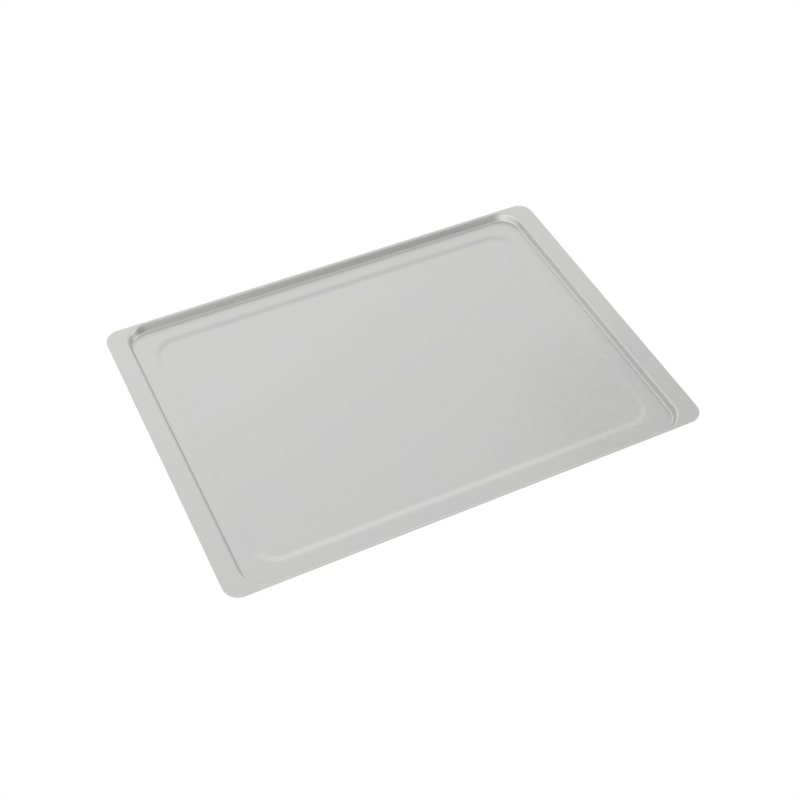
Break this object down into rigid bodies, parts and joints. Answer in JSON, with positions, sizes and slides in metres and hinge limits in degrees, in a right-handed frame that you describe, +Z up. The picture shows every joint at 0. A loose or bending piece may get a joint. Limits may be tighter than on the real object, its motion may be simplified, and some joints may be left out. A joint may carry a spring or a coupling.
{
  "type": "oven baking tray",
  "caption": "Shallow drawn aluminium baking tray with flat runners on its short sides, rounded bowl corners and a slightly sunk floor panel, for sliding into an oven's rails.",
  "frame": {"origin": "under the middle of the tray, on the plane that its floor panel rests on", "axes": "+X along the long side, towards one runner; +Y along the short side, to the back; +Z up, out of the bowl"},
  "size_m": [0.46, 0.33, 0.0095],
  "materials": {
    "tray_aluminium": "bare satin mill finish"
  },
  "bodies": {
    "root": {"baking_tray": "tray_aluminium"}
  },
  "joints": []
}
